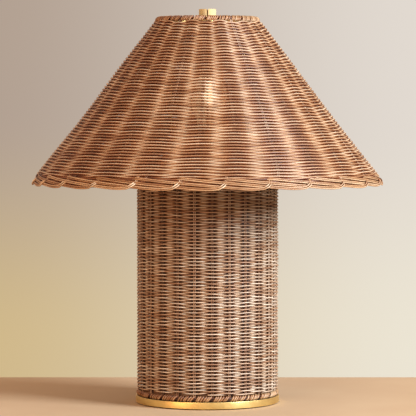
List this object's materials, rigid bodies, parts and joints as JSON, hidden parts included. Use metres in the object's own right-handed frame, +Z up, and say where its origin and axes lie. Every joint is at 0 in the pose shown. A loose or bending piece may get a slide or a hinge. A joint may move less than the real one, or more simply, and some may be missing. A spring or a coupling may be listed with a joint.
{
  "type": "table lamp",
  "caption": "Table lamp with a straight woven cane column on a brass ring, a wide conical woven shade with a looped rim, and a brass drum finial.",
  "frame": {"origin": "centre of the foot, on the surface that the lamp stands on", "axes": "+Z up along the lamp's axis; -Y is the front, where the switch knob points; the cord inlet is at the back; the harp stands in the XZ plane"},
  "size_m": [0.5431, 0.5432, 0.6098],
  "materials": {
    "felt": "matte",
    "polished_brass": "polished",
    "cast_iron": "matte",
    "zinc_steel": "satin",
    "raw_brass": "satin",
    "frame_paint": "satin",
    "cane_stakes": "satin",
    "cane_weave": "satin",
    "grommet_rubber": "matte",
    "blackened_steel": "satin",
    "liner_paper": "matte",
    "phenolic": "gloss",
    "bulb_solder": "satin",
    "bulb_insulator": "gloss",
    "bulb_shell": "satin",
    "bulb_glass": "satin",
    "washer_fibre": "matte"
  },
  "bodies": {
    "root": {"felt_pad": "felt", "base_ring": "polished_brass", "harp_wire": "polished_brass", "harp_saddle": "polished_brass", "harp_stud": "polished_brass", "socket_cap": "polished_brass", "socket_shell": "polished_brass", "base_weight": "cast_iron", "base_ring_screws": "zinc_steel", "lower_washer": "zinc_steel", "upper_washer": "zinc_steel", "lamp_pipe": "zinc_steel", "lower_nut": "raw_brass", "upper_nut": "raw_brass", "socket_screw_shell": "raw_brass", "center_contact": "raw_brass", "terminal_screws": "raw_brass", "column_lower_hoop": "frame_paint", "column_upper_hoop": "frame_paint", "column_posts": "frame_paint", "top_plate": "frame_paint", "column_stakes": "cane_stakes", "column_weave": "cane_weave", "column_foot_border": "cane_weave", "column_top_border": "cane_weave", "cord_grommet": "grommet_rubber", "socket_set_screw": "blackened_steel", "socket_liner": "liner_paper", "socket_body": "phenolic"},
    "shade_lifter": {"shade_washer": "washer_fibre"},
    "shade": {"shade_hub": "polished_brass", "spider_arms": "polished_brass", "shade_top_ring": "polished_brass", "shade_bottom_ring": "frame_paint", "shade_ribs": "frame_paint", "shade_stakes": "cane_stakes", "shade_weave": "cane_weave", "shade_rim_border": "cane_weave", "shade_top_border": "cane_weave"},
    "finial_lifter": {"finial_insert": "zinc_steel"},
    "finial": {"finial_knob": "polished_brass"},
    "bulb_lifter": {"bulb_tip_contact": "bulb_solder"},
    "bulb": {"bulb_insulator": "bulb_insulator", "bulb_base": "bulb_shell", "bulb_glass": "bulb_glass"},
    "switch": {"switch_stem": "blackened_steel", "switch_knob": "phenolic"},
    "sleeve_left": {"harp_sleeve_left": "polished_brass"},
    "sleeve_right": {"harp_sleeve_right": "polished_brass"}
  },
  "joints": [
    {"name": "switch_turn", "type": "hinge", "parent": "root", "child": "switch", "pos_m": [0, -0.02, 0.3828], "axis": [0, -1, 0], "continuous": true},
    {"name": "sleeve_left_slide", "type": "slide", "parent": "root", "child": "sleeve_left", "axis": [0, 0, 1], "range_m": [0, 0.012]},
    {"name": "sleeve_right_slide", "type": "slide", "parent": "root", "child": "sleeve_right", "axis": [0, 0, 1], "range_m": [0, 0.012]},
    {"name": "bulb_lift", "type": "slide", "parent": "root", "child": "bulb_lifter", "axis": [0, 0, 1], "range_m": [0, 0.0127]},
    {"name": "bulb_turn", "type": "hinge", "parent": "bulb_lifter", "child": "bulb", "pos_m": [0, 0, 0.4], "axis": [0, 0, 1], "range_deg": [0, 1260]},
    {"name": "shade_lift", "type": "slide", "parent": "root", "child": "shade_lifter", "axis": [0, 0, 1], "range_m": [0, 0.28]},
    {"name": "shade_turn", "type": "hinge", "parent": "shade_lifter", "child": "shade", "pos_m": [0, 0, 0.593], "axis": [0, 0, 1], "continuous": true},
    {"name": "finial_lift", "type": "slide", "parent": "shade_lifter", "child": "finial_lifter", "axis": [0, 0, 1], "range_m": [0, 0.008]},
    {"name": "finial_turn", "type": "hinge", "parent": "finial_lifter", "child": "finial", "pos_m": [0, 0, 0.6], "axis": [0, 0, 1], "range_deg": [0, 3060]}
  ],
  "couplings": [
    {"joint": "bulb_lift", "follows": "bulb_turn", "m_per_rad": 0.00057751},
    {"joint": "finial_lift", "follows": "finial_turn", "m_per_rad": 0.00014972}
  ]
}
